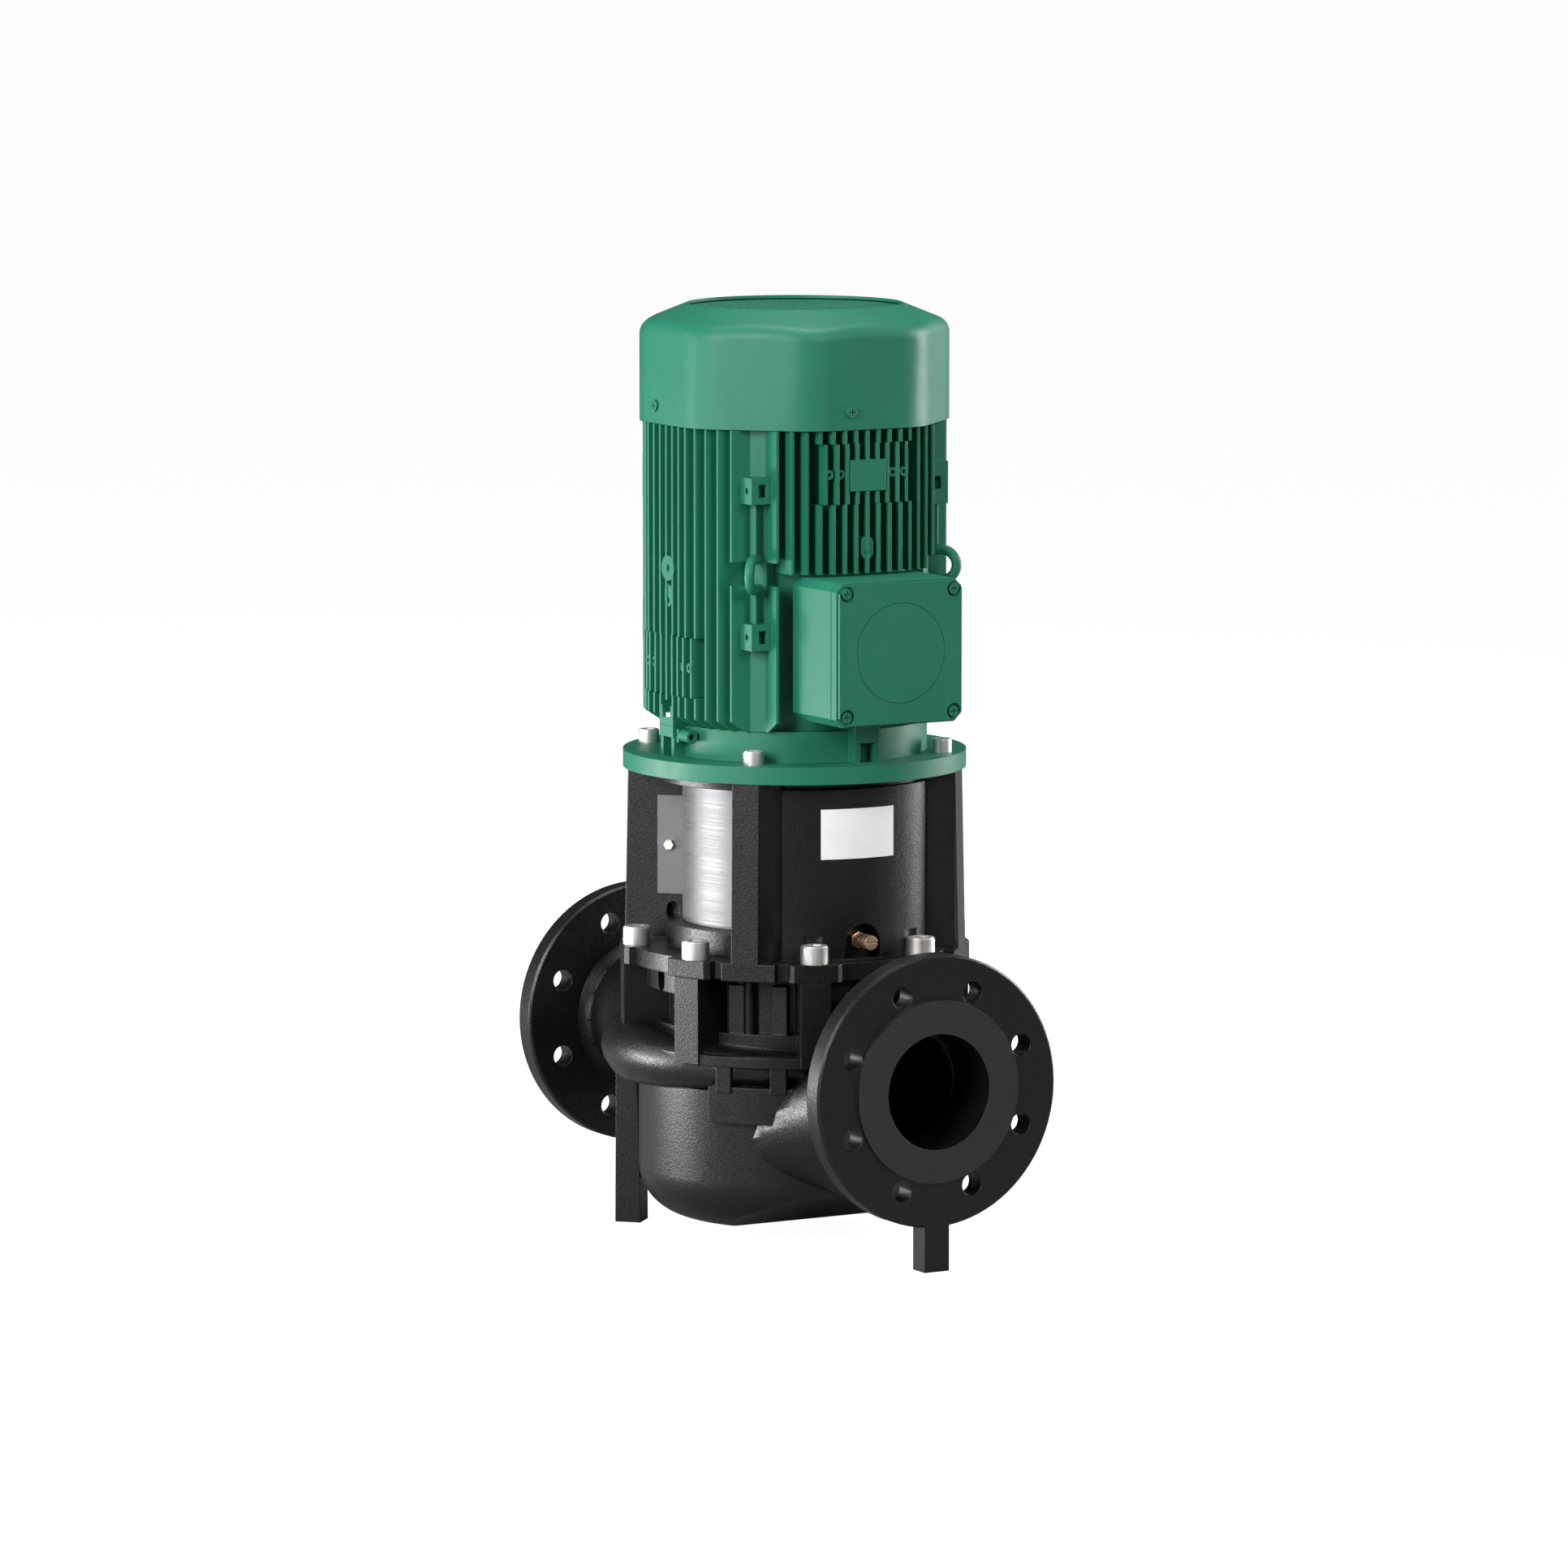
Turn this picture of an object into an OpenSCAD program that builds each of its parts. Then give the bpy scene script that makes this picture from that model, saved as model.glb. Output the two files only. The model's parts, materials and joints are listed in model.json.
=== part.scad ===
// In-line pump with a dry motor: spiral casing on three feet, lantern, and a finned motor standing on top.
// The origin is the centre of the inlet flange's sealing face, +X points out of the inlet, +Z runs up the shaft.

/* [Pipe connections] */
// Bore of both ports
port_d = 100; // [92:1:104]
// Outside diameter of the pipe flanges
flange_d = 235; // [228:1:250]
// Thickness of the pipe flanges, raised face included
flange_t = 24; // [20:1:28]
// Diameter of the raised sealing face
face_d = 158; // [150:1:160]
// Height of the raised sealing face
face_h = 3; // [2:0.5:4]
// Bolt circle of the pipe flanges
bolt_circle_d = 180; // [180:1:190]
// Diameter of the bolt holes in the pipe flanges
bolt_hole_d = 19; // [15:1:20]
// Number of bolt holes in each pipe flange
bolt_count = 8; // [4:4:8]
// Shaft axis to the inlet face
inlet_len = 250; // [245:1:275]
// Shaft axis to the outlet face
outlet_len = 300; // [290:1:330]
// Pipe axis above the floor
pipe_h = 156; // [150:1:190]
// Straight bore behind each sealing face
port_bore_len = 60; // [50:1:66]

/* [Spiral casing] */
// Wall thickness of the casing
case_wall = 8; // [6:0.5:9]
// Joint face of the casing above the pipe axis
joint_h = 84; // [78:1:100]
// Outside diameter of the casing body under the joint face
body_d = 224; // [222:1:230]
// Outside diameter of the belt around the impeller
belt_d = 246; // [240:1:252]
// Outside diameter of the suction chamber
pot_d = 274; // [266:1:282]
// Underside of the suction chamber below the pipe axis
pot_depth = 140; // [132:1:145]
// Corner radius of the suction chamber
pot_fillet = 45; // [36:1:56]
// Shaft axis to the inner side of the spiral tube
spiral_in_r = 110; // [107:1:113]
// Radius of the spiral tube where it leaves for the outlet
spiral_tube_r = 33; // [30:0.5:35]
// Middle of the spiral above the pipe axis
spiral_h = 5.5; // [3:0.5:8]
// Width of each foot
foot_w = 24; // [20:1:30]
// Length of each foot along its radius
foot_l = 23; // [20:1:28]
// Diameter of the tapped hole in each foot
foot_hole_d = 10.2; // [8:0.1:12]

/* [Casing joint] */
// Bolt circle of the casing joint
joint_circle_d = 278; // [276:1:284]
// Shank diameter of the casing joint screws
joint_screw_d = 16; // [12:1:18]
// Bore of the casing that centres the cover
spigot_d = 200; // [194:1:204]
// Thickness of the lantern's foot flange
foot_flange_t = 15.5; // [12:0.5:20]
// Outside diameter of the lantern's foot flange between its lobes
foot_flange_d = 286; // [280:1:292]
// Metal of the lobes outside the joint's bolt circle
lobe_edge = 13; // [12:0.5:16]

/* [Lantern] */
// Joint face to the underside of the motor flange
lantern_h = 171; // [165:1:200]
// Outside diameter of the closed lantern walls
wall_d = 256; // [250:1:260]
// Thickness of the closed lantern walls
lantern_wall = 8; // [6:0.5:10]
// Reach of the pillars at the foot
pillar_foot_r = 150.5; // [149:0.5:153]
// Reach of the pillars at the head
pillar_head_r = 147.3; // [144:0.1:149]
// Width of the pillars' outer faces
pillar_w = 24; // [20:1:28]
// Outside diameter of the coupling guards
guard_d = 196; // [190:1:198]
// Sheet thickness of the coupling guards
guard_t = 1.5; // [1:0.1:2]
// Width of the label plate
label_w = 70; // [50:1:76]
// Height of the label plate
label_h = 43.5; // [30:0.5:60]

/* [Pump shaft and impeller] */
// Outside diameter of the impeller
impeller_d = 160; // [140:1:172]
// Number of impeller blades
blade_n = 6; // [5:1:8]
// Thickness of the impeller blades
blade_t = 4; // [3:0.5:5]
// Eye diameter of the impeller
eye_d = 70; // [60:1:74]
// Pump shaft diameter in the seal
shaft_d = 28; // [24:1:32]
// Outside diameter of the clamp hub on the motor shaft
hub_d = 66; // [60:1:76]

/* [Motor] */
// Metal of the motor's mounting flange outside its bolt circle
motor_rim = 17.5; // [16:0.5:22]
// Thickness of the motor's mounting flange
motor_flange_t = 15.3; // [12:0.1:18]
// Bolt circle of the motor's mounting flange
motor_circle_d = 265; // [262:1:272]
// Spigot diameter of the motor's mounting flange
motor_spigot_d = 230; // [226:1:234]
// Shank diameter of the motor flange screws
motor_screw_d = 12; // [10:1:14]
// Motor flange to the start of the finned frame
shield_h = 42; // [38:1:50]
// Outside diameter of the drive end shield
shield_d = 231.4; // [228:0.2:236]
// Length of the finned motor frame
frame_len = 260.5; // [250:0.5:300]
// Outside diameter of the frame's tube at the foot of the fins
tube_d = 214; // [210:1:218]
// Bore of the frame around the stator core
stator_d = 194; // [188:1:196]
// Bore of the stator core
stator_bore_d = 124; // [116:1:128]
// Diameter of the motor shaft in its bearings
bearing_bore_d = 40; // [38:0.5:42]
// Outside diameter of the motor bearings
bearing_d = 80; // [78:1:84]
// Width of the motor bearings
bearing_w = 18; // [16:1:20]
// Diameter of the motor shaft's end
motor_shaft_d = 38; // [34:0.5:38]
// Motor flange face to the end of the motor shaft
motor_shaft_len = 80; // [70:1:84]

/* [Fins] */
// Distance from fin to fin
fin_pitch = 11; // [10.4:0.1:11.4]
// Fins on each side of a sector's middle fin
fin_side_n = 7; // [6:1:7]
// Thickness of the fins
fin_t = 3; // [2.4:0.1:3.6]
// Radius of the circle around the fin tips
fin_tip_r = 131.5; // [130:0.1:134]
// Distance of the middle fins' tips from the shaft axis
fin_flat_r = 127.8; // [126:0.1:129]
// Underside of the inlet side's fins above the frame's foot
inlet_fins_up = 137; // [130:1:150]

/* [Lifting eyes and foot pads] */
// Reach of the lifting eyes from the shaft axis
eye_reach = 150; // [146:1:154]
// Radius of the lifting eye's ring at the middle of its bar
eye_ring_r = 13; // [12:0.5:15]
// Radius of the lifting eye's bar
eye_bar_r = 4.3; // [3.6:0.1:4.6]
// Middle of the lifting eyes above the frame's foot
eye_up = 137; // [130:1:145]
// Outer faces of the foot pads from the shaft axis
pad_out = 97.6; // [95:0.1:100]
// Edge length of the foot pads
pad_w = 21.6; // [18:0.2:24]
// Height of the foot pads
pad_h = 23; // [18:1:30]
// Middle of the lower foot pads above the frame's foot
low_pad_up = 83; // [75:1:90]
// Middle of the upper foot pads above the frame's foot
high_pad_up = 209; // [200:1:220]

/* [Terminal box] */
// Edge length of the terminal box lid
box_w = 123.5; // [116:0.5:130]
// Front of the lid from the shaft axis
box_front = 184.3; // [176:0.1:200]
// Back of the terminal box from the shaft axis
box_back = 106; // [105:0.5:108]
// Thickness of the lid
lid_t = 12; // [9:0.5:14]
// Middle of the terminal box above the frame's foot
box_up = 73.3; // [72:0.1:76]
// Wall thickness of the terminal box
box_wall = 4; // [3:0.5:5]
// Bore of the cable entry
entry_d = 32; // [25:0.5:36]

/* [Fan cowl] */
// Height of the fan cowl
cowl_h = 101.5; // [96:0.5:120]
// Width of the cowl across its flats
cowl_w = 257; // [257:0.5:264]
// Sheet thickness of the cowl
cowl_wall = 2.5; // [2:0.1:3]
// Corner radius of the cowl
cowl_corner_r = 45; // [30:1:60]
// Shoulder radius of the cowl
cowl_shoulder_r = 14; // [8:1:18]
// Diameter of the air grille
grille_d = 188; // [176:1:192]
// Slope of the cowl's roof in degrees
cowl_slope = 22; // [18:1:25]
// Diameter of the perforations in the grille
grille_hole_d = 6; // [4:0.5:6.5]
// Diameter of the fan
fan_d = 226; // [200:1:232]
// Number of fan blades
fan_blades = 8; // [6:1:10]

/* [Hidden] */
$fn = 72;

// clearances
slip = 0.05;
relief = 0.1;
gap = 0.3;
eps = 0.5;

// colours
iron = [0.10, 0.10, 0.10];
paint = [0.12, 0.49, 0.36];
zinc = [0.80, 0.80, 0.80];
steel = [0.60, 0.62, 0.63];
copper = [0.80, 0.52, 0.40];
rubber = [0.05, 0.05, 0.05];

// heights above the pipe axis
floor_z = -pipe_h;
foot_flange_z = joint_h + foot_flange_t;
motor_z = joint_h + lantern_h;
ring_top_z = motor_z + motor_flange_t;
frame_z = motor_z + shield_h;
frame_top_z = frame_z + frame_len;
cowl_z = frame_top_z + gap;
cowl_top_z = cowl_z + cowl_h;

// casing
body_r = body_d / 2;
lobe_r = joint_circle_d / 2 + lobe_edge;
belt_r = belt_d / 2;
pot_r = pot_d / 2;
spigot_r = spigot_d / 2;
chamber_r = spigot_r - 8;
chamber_top_z = joint_h - 62;
chamber_floor_z = -21;
suction_top_z = -34;
pot_top_z = -15;
ramp_x = 45;
neck_r = port_d / 2 + 12;
spiral_start = 30;
spiral_end = -140;
foot_out_r = 161;
joint_angles = [for (i = [0 : 7]) 22.5 + 45 * i];
pillar_angles = [45, 135, 225, 315];
column_w = 26;
shelf_z = 9;
shelf_t = 9;

// lantern
window_x = 15;
curb_h = 20.5;
curb_r = 112;
lobe_root_r = foot_flange_d / 2 - 28;
wall_top_z = motor_z - 7;
guard_r = guard_d / 2;
guard_z0 = foot_flange_z + curb_h + gap;
guard_z1 = motor_z - 10;
head_ring_r = 122;
head_ring_z = guard_z1 + gap;
niche_a = -2;
spot_face = 0.5;

// shaft
shaft_end_z = motor_z - motor_shaft_len;
hub_z0 = foot_flange_z + 12;
hub_z1 = motor_z - 6;
impeller_z = spiral_h;
eye_r = eye_d / 2;
bore_r = shaft_d / 2 - 3;

// motor
motor_flange_d = motor_circle_d + 2 * motor_rim;
tube_r = tube_d / 2;
stator_r = stator_d / 2;
shield_r = shield_d / 2;
ear_reach = shield_r + 12;
ear_screw_r = shield_r + 6.4;
ear_t = 7;
ear_w = 24;
lower_bearing_z = motor_z + 13;
upper_bearing_z = frame_top_z - 9;
bearing_pitch_r = (bearing_bore_d + bearing_d) / 4;
ball_r = (bearing_d - bearing_bore_d) * 0.15;
core_z0 = frame_z + 48;
core_z1 = frame_top_z - 48;
eye_z = frame_z + eye_up;
flat_r = 118;
flat_w = 16;
inlet_fins_z = frame_z + inlet_fins_up;
box_z = frame_z + box_up;
box_seat = box_back + 6;

// fan cowl
cowl_r = cowl_w / 2;
grille_r = grille_d / 2;
cowl_screw_z = cowl_z + 15.4;
cowl_screw_off = 17;
cowl_n = 72;
fan_z = frame_top_z + 16;

module at_shaft() {
    translate([-inlet_len, 0, 0]) children();
}

function mix(a, b, t) = a + (b - a) * t;
function smooth(t) = t * t * (3 - 2 * t);
function bezier(a, b, c, d, t) =
    a * pow(1 - t, 3) + b * 3 * t * pow(1 - t, 2) + c * 3 * t * t * (1 - t) + d * pow(t, 3);

// one oval ring of points around centre c, with half widths a along the unit vector u and b along Z
function oval(c, u, a, b, n) =
    [for (i = [0 : n - 1]) c + u * (a * cos(360 * i / n)) + [0, 0, b * sin(360 * i / n)]];

// skin through a list of rings that all have the same number of points; a loop joins the last to the first
module skin(rings, loop = false) {
    m = len(rings);
    n = len(rings[0]);
    points = [for (r = rings) each r];
    sides = [for (j = [0 : loop ? m - 1 : m - 2], i = [0 : n - 1])
        let (k = (j + 1) % m, h = (i + 1) % n)
        each [[j * n + i, j * n + h, k * n + i], [j * n + h, k * n + h, k * n + i]]];
    first = [for (i = [n - 1 : -1 : 0]) i];
    last = [for (i = [0 : n - 1]) (m - 1) * n + i];
    polyhedron(points, loop ? sides : concat(sides, [first, last]), convexity = 6);
}

module ring(r_out, r_in, h) {
    difference() {
        cylinder(r = r_out, h = h);
        translate([0, 0, -eps]) cylinder(r = r_in, h = h + 2 * eps);
    }
}

// tube between two radii over a span of angles
module sector(r_in, r_out, a0, a1, h) {
    rotate([0, 0, a0]) rotate_extrude(angle = a1 - a0) translate([r_in, 0]) square([r_out - r_in, h]);
}

module around(angles) {
    for (a = angles) rotate([0, 0, a]) children();
}

// socket head screw standing on z = 0, shank down
module socket_screw(d, head_d, head_h, shank) {
    difference() {
        union() {
            translate([0, 0, -shank]) cylinder(d = d, h = shank + eps);
            cylinder(d = head_d, h = head_h - 1);
            translate([0, 0, head_h - 1]) cylinder(d = head_d - 1.6, h = 1);
        }
        translate([0, 0, head_h * 0.45]) cylinder(d = d * 0.92, h = head_h, $fn = 6);
    }
}

// hexagon screw standing on z = 0, shank down
module hex_screw(d, flats, head_h, shank) {
    translate([0, 0, -shank]) cylinder(d = d, h = shank + eps);
    cylinder(d = flats / cos(30), h = head_h, $fn = 6);
}

// Spiral casing

// radius of the spiral's tube at angle a, counted against the sense of the spiral
function spiral_tube(a) =
    mix(5, spiral_tube_r, (spiral_start - a) / (spiral_start - spiral_end));
function polar(r, a, z) = [r * cos(a), r * sin(a), z];
function heading(a) = [sin(a), -cos(a), 0];

// middle line and radius of the outlet pipe, from the end of the spiral at t = 0 to the flange at t = 1
function outlet_point(t) =
    let (start = polar(spiral_in_r + spiral_tube_r, spiral_end, spiral_h))
    bezier(start, start + 52 * heading(spiral_end), [-outlet_len + flange_t + 70, 0, 0],
        [-outlet_len + flange_t - eps, 0, 0], t);
function outlet_side(t) =
    let (d = outlet_point(t + 0.01) - outlet_point(t - 0.01))
    [d.y, -d.x, 0] / norm([d.x, d.y]);
function outlet_r(t) = mix(spiral_tube_r, neck_r, smooth(t));

module spiral_outside(steps, bend_steps, n) {
    skin(concat(
        [for (i = [0 : steps]) let (a = mix(spiral_start, spiral_end, i / steps), r = spiral_tube(a))
            oval(polar(spiral_in_r + r, a, spiral_h), -polar(1, a, 0), r, r, n)],
        [for (i = [1 : bend_steps]) let (t = i / bend_steps)
            oval(outlet_point(t), outlet_side(t), outlet_r(t), outlet_r(t), n)]));
}

// Cross section of the water passage around its middle c: flat from the impeller chamber to the
// shoulder, then half an oval. The value bend turns it into a circle of radius r.
passage_in_r = 80;
shoulder_r = 104;
function passage_out_r(a) = spiral_in_r + 2 * spiral_tube(a) - case_wall;
function passage_c(a) = (passage_in_r + passage_out_r(a)) / 2;
function passage_flat(a, i) =
    let (half = passage_out_r(a) - passage_c(a), h = max(6, spiral_tube(a) - case_wall),
        turn = 90 - (i - 2) * 22.5)
    i == 0 ? [half + 3, 0] : i == 1 ? [half, h] : i == 11 ? [half, -h] :
    [passage_c(a) - shoulder_r - (passage_out_r(a) - shoulder_r) * cos(turn), h * sin(turn)];
function passage_ring(a, c, u, r, bend) =
    [for (i = [0 : 11]) let (p = mix(passage_flat(a, i), [r * cos(i * 30), r * sin(i * 30)], bend))
        c + u * p.x + [0, 0, p.y]];

module spiral_passage(steps, bend_steps) {
    shift = spiral_in_r + spiral_tube_r - passage_c(spiral_end);
    t_end = 0.83;
    skin(concat(
        [for (i = [0 : steps]) let (a = mix(spiral_start - 4, spiral_end, i / steps))
            passage_ring(a, polar(passage_c(a), a, spiral_h), -polar(1, a, 0), 0, 0)],
        [for (i = [1 : bend_steps])
            let (t = t_end * i / bend_steps, bend = smooth(min(1, t / 0.4)), u = outlet_side(t),
                r = i == bend_steps ? port_d / 2 - 5 : min(outlet_r(t) - case_wall, port_d / 2 - 1))
            passage_ring(spiral_end, outlet_point(t) + u * shift * (1 - bend), u, r, bend)]));
}

// inlet elbow: round at the flange, wide and deep where it runs into the suction chamber
module inlet_elbow(inner, steps, n) {
    x_flange = inlet_len - flange_t + eps;
    x_start = inner == 0 ? x_flange : inlet_len - port_bore_len + 2;
    x_stop = inner == 0 ? 20 : 30;
    skin([for (i = [0 : steps])
        let (x = mix(x_start, x_stop, i / steps), u = (x_flange - x) / (x_flange - 20), s = smooth(u),
            low = neck_r + (pot_depth - 7 - neck_r) * pow(u, 0.55),
            high = mix(neck_r, -20, s),
            fit = inner == 0 ? 1 : min(1, 0.82 + 0.6 * i / steps))
        oval([x, 0, i == 0 ? 0 : (high - low) / 2], [0, 1, 0],
            i == 0 && inner > 0 ? port_d / 2 - 1.5 : (mix(neck_r, pot_r - 24, s) - inner) * fit,
            i == 0 && inner > 0 ? port_d / 2 - 1.5 : ((high + low) / 2 - inner) * fit, n)]);
}

// circle drawn as narrow flats, for a rough wall that the water passage runs out of
module many_flats(r, n) {
    polygon([for (i = [0 : n - 1]) [r * cos(i * 360 / n), r * sin(i * 360 / n)]]);
}

module pipe_flange() {
    rotate([0, 90, 0]) {
        rotate_extrude() polygon([[0, -flange_t], [flange_d / 2 - 2, -flange_t], [flange_d / 2, -flange_t + 2],
            [flange_d / 2, -face_h - 2], [flange_d / 2 - 2, -face_h], [face_d / 2, -face_h],
            [face_d / 2, 0], [0, 0]]);
        rotate_extrude() polygon([[0, -flange_t - 12], [neck_r, -flange_t - 12], [neck_r + 5, -flange_t - 2],
            [neck_r + 5, -flange_t + eps], [0, -flange_t + eps]]);
    }
}

module pipe_flange_cuts() {
    rotate([0, 90, 0]) {
        translate([0, 0, -port_bore_len]) cylinder(d = port_d, h = port_bore_len + eps);
        for (i = [0 : bolt_count - 1]) rotate([0, 0, (i + 0.5) * 360 / bolt_count])
            translate([bolt_circle_d / 2, 0, -flange_t - eps]) cylinder(d = bolt_hole_d, h = flange_t + 2 * eps);
    }
}

module suction_pot(inner) {
    r = pot_r - inner;
    f = pot_fillet - inner;
    low = -pot_depth + inner;
    high = inner == 0 ? pot_top_z : suction_top_z;
    // the floor rises in a straight ramp towards the inlet
    x_end = inlet_len - flange_t;
    slope = (pot_depth - neck_r) / (x_end - ramp_x);
    lift = inner * sqrt(1 + slope * slope);
    difference() {
        rotate_extrude() union() {
            translate([0, low]) square([r - f, high - low]);
            translate([0, low + f]) square([r, high - low - f]);
            translate([r - f, low + f]) circle(r = f);
        }
        translate([0, pot_r + 10, lift]) rotate([90, 0, 0]) linear_extrude(2 * pot_r + 20)
            polygon([[ramp_x - 30 / slope, -pot_depth - 30], [x_end, -pot_depth - 30], [x_end, -neck_r]]);
    }
}

// seat of the drain plug, in the lower corner of the suction chamber on the +Y side
module at_drain() {
    translate([0, pot_r - pot_fillet * 0.45, -pot_depth + pot_fillet * 0.45]) rotate([-135, 0, 0]) children();
}

// post of one side foot, upright and slightly narrower at the top
module side_foot() {
    translate([0, foot_w / 2, 0]) rotate([90, 0, 0]) linear_extrude(foot_w)
        polygon([[foot_out_r - foot_l, floor_z], [foot_out_r, floor_z], [foot_out_r - 1, shelf_z + 1],
            [foot_out_r - 1 - foot_l * 0.8, shelf_z + 1], [foot_out_r - foot_l, floor_z + 20]]);
    translate([pot_r - 25, -foot_w / 4, floor_z + 40]) cube([30, foot_w / 2, pipe_h - 50]);
}

module inlet_foot() {
    translate([inlet_len - face_h - foot_l + 3, -foot_w / 2, floor_z])
        cube([foot_l - 3, foot_w, pipe_h - flange_d / 2 + 6]);
}

module foot_hole() {
    translate([0, 0, floor_z - eps]) cylinder(d = foot_hole_d, h = 20 + eps);
}

// column under one casing joint screw, with its lug at the joint face
module joint_column() {
    translate([body_r - 8, -column_w / 2, shelf_z])
        cube([lobe_r - body_r + 8, column_w, joint_h - relief - shelf_z]);
}

module body_panels() {
    for (s = [-1, 1]) translate([body_r - 20, s * 19 - 7, shelf_z]) cube([27, 14, joint_h - shelf_z - 8]);
    translate([body_r + 5, -8, spiral_h + 4]) cylinder(d = 10, h = joint_h - spiral_h - 4);
}

module spiral_casing() {
    color(iron) at_shaft() difference() {
        union() {
            spiral_outside(12, 7, 16);
            inlet_elbow(0, 7, 24);
            suction_pot(0);
            translate([0, 0, -18]) cylinder(r = belt_r, h = 52);
            translate([0, 0, shelf_z]) cylinder(r = body_r, h = joint_h - shelf_z);
            for (a = [0, 90, 180, 270])
                translate([0, 0, joint_h - 20]) sector(body_r - 6, body_r + 19, a - 24, a + 24, 20 - 2 * relief);
            translate([0, 0, shelf_z]) sector(body_r - 6, spiral_in_r + 41, -82, 170, shelf_t);
            around(joint_angles) joint_column();
            around(pillar_angles) body_panels();
            translate([0, 0, -41]) sector(pot_r - 20, pot_r + 10, -60, -8, 32);
            for (a = [-54, -35, -15]) rotate([0, 0, a])
                translate([belt_r - 6, -7, -14]) cube([pot_r + 18 - belt_r, 14, shelf_z + 15]);
            around([135, 225]) side_foot();
            inlet_foot();
            translate([inlet_len, 0, 0]) pipe_flange();
            translate([-outlet_len, 0, 0]) rotate([0, 0, 180]) pipe_flange();
            at_drain() translate([0, 0, -24]) cylinder(d = 30, h = 34);
        }
        translate([inlet_len, 0, 0]) pipe_flange_cuts();
        translate([-outlet_len, 0, 0]) rotate([0, 0, 180]) pipe_flange_cuts();
        spiral_passage(10, 6);
        inlet_elbow(case_wall, 6, 16);
        suction_pot(case_wall);
        translate([0, 0, chamber_floor_z]) linear_extrude(joint_h - chamber_floor_z) many_flats(chamber_r, 60);
        translate([0, 0, chamber_top_z]) cylinder(r = spigot_r, h = joint_h - chamber_top_z + eps);
        translate([0, 0, suction_top_z - eps]) cylinder(r = eye_r + 9, h = 40);
        around(joint_angles) translate([joint_circle_d / 2, 0, joint_h - 36])
            cylinder(d = joint_screw_d + 2 * slip, h = 36 + eps);
        for (a = [0, 90, 180, 270]) rotate([0, 0, a - 2]) {
            translate([body_r + 8, 0, joint_h - 14]) rotate([0, 90, 0]) cylinder(d = 12, h = 30);
            translate([body_r + 8, -6, joint_h - 14]) cube([30, 12, 14 + eps]);
        }
        around([135, 225]) translate([foot_out_r - foot_l / 2, 0, 0]) foot_hole();
        translate([inlet_len - face_h - foot_l / 2 + 1.5, 0, 0]) foot_hole();
        at_drain() translate([0, 0, -26]) cylinder(r = 8 + slip, h = 40);
    }
}

module wear_ring() {
    color(steel) at_shaft() translate([0, 0, suction_top_z + 2]) ring(eye_r + 9 - slip, eye_r + 3.4, 16);
}

module cover_joint_ring() {
    color(rubber) at_shaft() translate([0, 0, chamber_top_z + 1.8])
        rotate_extrude() translate([spigot_r - 3.2, 0]) circle(r = 1.75);
}

module drain_plug() {
    color(steel) at_shaft() at_drain() translate([0, 0, 10 + slip]) hex_screw(16, 17, 8, 14);
}

// Rotating pump parts

module blade_2d(r_in, r_out, bend_r) {
    intersection() {
        difference() {
            circle(r = r_out);
            circle(r = r_in);
        }
        translate([-bend_r * 0.86, bend_r * 0.62]) difference() {
            circle(r = bend_r + blade_t / 2);
            circle(r = bend_r - blade_t / 2);
        }
        translate([0, -r_out]) square([r_out, 2 * r_out]);
    }
}

module impeller() {
    r = impeller_d / 2;
    half = 6;
    color(iron) at_shaft() translate([0, 0, impeller_z]) difference() {
        union() {
            translate([0, 0, half]) cylinder(r = r, h = 4);
            cylinder(r = bore_r + 9, h = 34);
            translate([0, 0, -half]) linear_extrude(2 * half + 1) for (i = [0 : blade_n - 1])
                rotate([0, 0, i * 360 / blade_n]) blade_2d(bore_r + 8, r - 1, r * 0.6);
            rotate_extrude() polygon([[r, -half], [r, -half - 4], [eye_r + 8, -half - 6], [eye_r + 3, -half - 10],
                [eye_r + 3, -half - 24], [eye_r, -half - 24], [eye_r, -half - 7], [eye_r + 5, -half - 2],
                [eye_r + 12, -half]]);
        }
        translate([0, 0, -40]) cylinder(r = bore_r + slip, h = 80);
    }
}

module impeller_nut() {
    color(steel) at_shaft() translate([0, 0, impeller_z - 24]) {
        difference() {
            union() {
                translate([0, 0, 20]) cylinder(r = bore_r + 6, h = 4 - slip);
                translate([0, 0, 8]) cylinder(r = bore_r + 5, h = 12 + eps, $fn = 6);
            }
            translate([0, 0, 7]) cylinder(r = bore_r + slip, h = 20);
        }
    }
}

module pump_shaft() {
    color(steel) at_shaft() difference() {
        union() {
            translate([0, 0, impeller_z - 18]) cylinder(r = bore_r, h = 54);
            translate([0, 0, impeller_z + 34 + slip]) cylinder(d = shaft_d, h = hub_z0 - impeller_z - 33);
            translate([0, 0, hub_z0]) cylinder(d = hub_d, h = hub_z1 - hub_z0);
        }
        translate([0, 0, shaft_end_z - 4]) cylinder(d = motor_shaft_d + 2 * slip, h = hub_z1);
        translate([-1, 0, shaft_end_z + 10]) cube([2, hub_d, hub_z1]);
        for (z = [0.35, 0.75]) translate([0, hub_d / 2 - 7, mix(shaft_end_z, hub_z1, z)]) rotate([0, 90, 0])
            translate([0, 0, -hub_d]) cylinder(r = 4 + slip, h = 2 * hub_d);
        for (z = [0.35, 0.75], s = [0, 1]) mirror([s, 0, 0])
            translate([11, hub_d / 2 - 14.5, mix(shaft_end_z, hub_z1, z) - 8]) cube([hub_d, 15, 16]);
    }
}

module hub_clamp_screws() {
    color(zinc) at_shaft() for (z = [0.35, 0.75])
        translate([11, hub_d / 2 - 7, mix(shaft_end_z, hub_z1, z)]) rotate([0, 90, 0])
            socket_screw(8, 13, 8, 20);
}

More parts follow.
